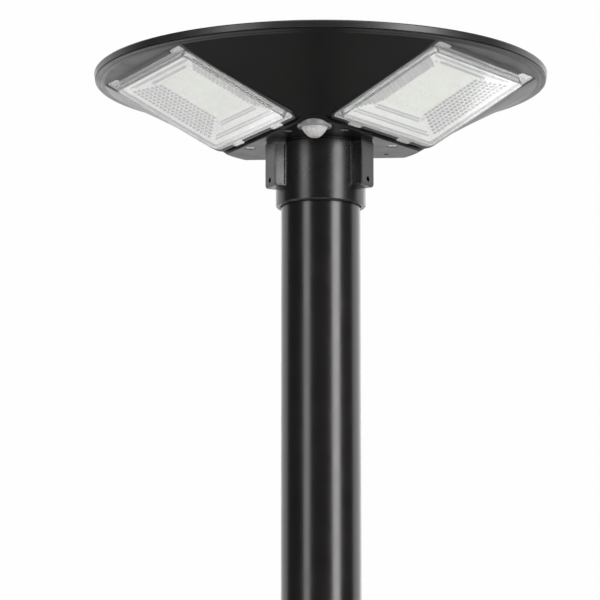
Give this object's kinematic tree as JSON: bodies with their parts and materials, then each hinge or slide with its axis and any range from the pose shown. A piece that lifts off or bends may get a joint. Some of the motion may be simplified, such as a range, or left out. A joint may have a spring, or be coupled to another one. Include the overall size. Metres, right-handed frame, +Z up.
{
  "type": "solar street lamp",
  "caption": "Post-top solar street lamp: round panel head with slanted LED lamps, motion sensor and a collar clamped on a black pole.",
  "frame": {"origin": "centre of the pole's lower end, on the pole's axis", "axes": "+Z up along the pole, -Y to the front, where the motion sensor is, +X to the right as seen from the front"},
  "size_m": [0.4359, 0.436, 0.545],
  "materials": {
    "pole_paint": "satin black powder coat",
    "black_moulding": "black moulded plastic, fine texture",
    "bezel_moulding": "black moulded plastic, satin",
    "glass_panel": "clear tempered glass",
    "cells": "dark blue-black monocrystalline cells",
    "backsheet": "black backsheet",
    "black_rubber": "black silicone rubber",
    "bright_steel": "bright plated steel",
    "black_steel": "black oxide steel",
    "brass_insert": "machined brass",
    "clear_lens": "clear moulded polycarbonate",
    "white_tray": "white moulded reflector",
    "white_board": "white solder mask",
    "led_phosphor": "pale yellow phosphor",
    "grey_sensor": "translucent grey plastic",
    "white_dome": "milky white lens",
    "green_board": "green circuit board",
    "sensor_metal": "plated can",
    "black_plastic": "black plastic",
    "status_lens": "smoked lens",
    "cell_wrap": "blue shrink wrap",
    "lead_sleeve": "insulated wire"
  },
  "bodies": {
    "pole": {"pole": "pole_paint"},
    "head": {"base_plate": "black_moulding", "base_plate_screws": "bright_steel", "battery_cells": "cell_wrap", "battery_cradle": "black_plastic", "battery_lead": "lead_sleeve", "battery_strap": "black_plastic", "battery_tabs": "bright_steel", "bezel": "bezel_moulding", "bezel_screws": "bright_steel", "button_ring": "black_plastic", "collar": "black_moulding", "collar_inserts": "brass_insert", "collar_screws": "bright_steel", "controller_board": "green_board", "controller_parts": "black_plastic", "controller_screws": "bright_steel", "housing": "black_moulding", "junction_box": "black_plastic", "lamp_leads": "lead_sleeve", "led_board_back": "white_board", "led_board_left": "white_board", "led_board_right": "white_board", "led_chips_back": "led_phosphor", "led_chips_left": "led_phosphor", "led_chips_right": "led_phosphor", "lens_back": "clear_lens", "lens_gasket_back": "black_rubber", "lens_gasket_left": "black_rubber", "lens_gasket_right": "black_rubber", "lens_left": "clear_lens", "lens_right": "clear_lens", "panel_backsheet": "backsheet", "panel_bead": "black_rubber", "panel_glass": "glass_panel", "panel_lead": "lead_sleeve", "power_switch": "black_plastic", "reflector_back": "white_tray", "reflector_left": "white_tray", "reflector_right": "white_tray", "rim_seal": "black_rubber", "sensor_board": "green_board", "sensor_can": "sensor_metal", "sensor_dome": "white_dome", "sensor_lead": "lead_sleeve", "sensor_ring": "grey_sensor", "solar_cells": "cells", "status_light": "status_lens", "switch_lead": "lead_sleeve", "tray_screws_back": "bright_steel", "tray_screws_left": "bright_steel", "tray_screws_right": "bright_steel"},
    "set_screw_right": {"set_screw_right": "black_steel"},
    "set_screw_left": {"set_screw_left": "black_steel"},
    "set_screw_back": {"set_screw_back": "black_steel"},
    "power_button": {"power_button": "black_rubber"}
  },
  "joints": [
    {"name": "head_turn", "type": "hinge", "parent": "pole", "child": "head", "pos_m": [0, 0, 0.44], "axis": [0, 0, 1], "continuous": true},
    {"name": "set_screw_right_back_off", "type": "slide", "parent": "head", "child": "set_screw_right", "axis": [0.866, -0.5, 0], "range_m": [0, 0.006]},
    {"name": "set_screw_left_back_off", "type": "slide", "parent": "head", "child": "set_screw_left", "axis": [-0.866, -0.5, 0], "range_m": [0, 0.006]},
    {"name": "set_screw_back_back_off", "type": "slide", "parent": "head", "child": "set_screw_back", "axis": [0, 1, 0], "range_m": [0, 0.006]},
    {"name": "power_button_press", "type": "slide", "parent": "head", "child": "power_button", "axis": [0, 0, 1], "range_m": [0, 0.0012], "stiffness_N_per_m": 1500}
  ]
}
